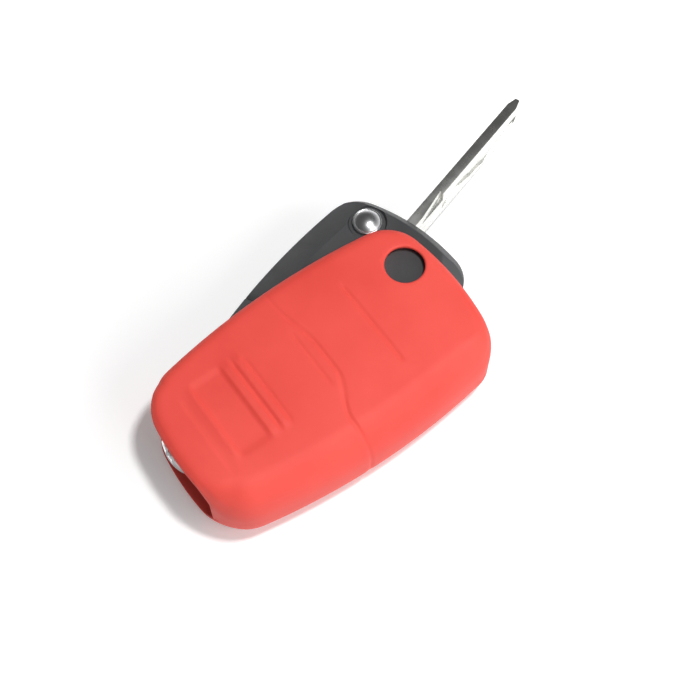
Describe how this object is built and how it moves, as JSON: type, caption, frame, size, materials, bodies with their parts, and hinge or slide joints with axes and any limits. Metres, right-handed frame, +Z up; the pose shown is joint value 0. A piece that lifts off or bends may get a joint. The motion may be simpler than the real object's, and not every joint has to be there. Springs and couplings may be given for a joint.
{
  "type": "key fob cover",
  "caption": "Soft silicone sleeve cover with a release hole and button pads, shown with its folding car key swung part way out and the blade open.",
  "frame": {"origin": "centre of the cover's back face, on the surface it lies on", "axes": "+Z up out of the cover's front face, +Y along the cover to its head end, where the blade comes out, +X to the cover's closed side"},
  "size_m": [0.0521, 0.1144, 0.0206],
  "materials": {
    "silicone": "soft matte silicone",
    "key_plastic": "fine grained black plastic",
    "chrome": "polished plating",
    "spring_steel": "drawn steel",
    "capsule_glass": "clear glass capsule",
    "board_green": "solder mask",
    "chip_black": "moulded packages",
    "cell_steel": "plated can",
    "contact_brass": "sprung strip",
    "lens_red": "tinted lens",
    "blade_steel": "nickel plated",
    "hub_zinc": "black coated die casting",
    "button_rubber": "soft touch"
  },
  "bodies": {
    "cover": {"silicone_cover": "silicone"},
    "key_body": {"head_front_shell": "key_plastic", "head_rear_shell": "key_plastic", "remote_front_shell": "key_plastic", "remote_rear_cover": "key_plastic", "keyring_bracket": "chrome", "pivot_pin": "spring_steel", "flip_spring": "spring_steel", "transponder_chip": "capsule_glass", "case_screw": "spring_steel", "circuit_board": "board_green", "board_chips": "chip_black", "tact_switches": "chip_black", "coin_cell": "cell_steel", "battery_contacts": "contact_brass", "indicator_lens": "lens_red"},
    "blade": {"key_blade": "blade_steel", "blade_hub": "hub_zinc", "blade_roll_pin": "spring_steel"},
    "release_button": {"release_button": "chrome"},
    "unlock_button": {"unlock_button": "button_rubber"},
    "lock_button": {"lock_button": "button_rubber"},
    "boot_button": {"boot_button": "button_rubber"}
  },
  "joints": [
    {"name": "key_swing", "type": "hinge", "parent": "cover", "child": "key_body", "pos_m": [-0.0168, -0.0207, 0], "axis": [0, 0, 1], "range_deg": [0, 60]},
    {"name": "blade_flip", "type": "hinge", "parent": "key_body", "child": "blade", "pos_m": [-0.02235, 0.02887, 0.00962], "axis": [0, 0, 1], "range_deg": [0, 180]},
    {"name": "release_press", "type": "slide", "parent": "key_body", "child": "release_button", "axis": [0, 0, -1], "range_m": [0, 0.0014], "stiffness_N_per_m": 900, "springref_m": -0.002, "deforming": ["flip_spring"]},
    {"name": "unlock_press", "type": "slide", "parent": "key_body", "child": "unlock_button", "axis": [0, 0, -1], "range_m": [0, 0.0006], "stiffness_N_per_m": 900, "springref_m": -0.0008},
    {"name": "lock_press", "type": "slide", "parent": "key_body", "child": "lock_button", "axis": [0, 0, -1], "range_m": [0, 0.0006], "stiffness_N_per_m": 900, "springref_m": -0.0008},
    {"name": "boot_press", "type": "slide", "parent": "key_body", "child": "boot_button", "axis": [0, 0, -1], "range_m": [0, 0.0006], "stiffness_N_per_m": 900, "springref_m": -0.0008}
  ]
}
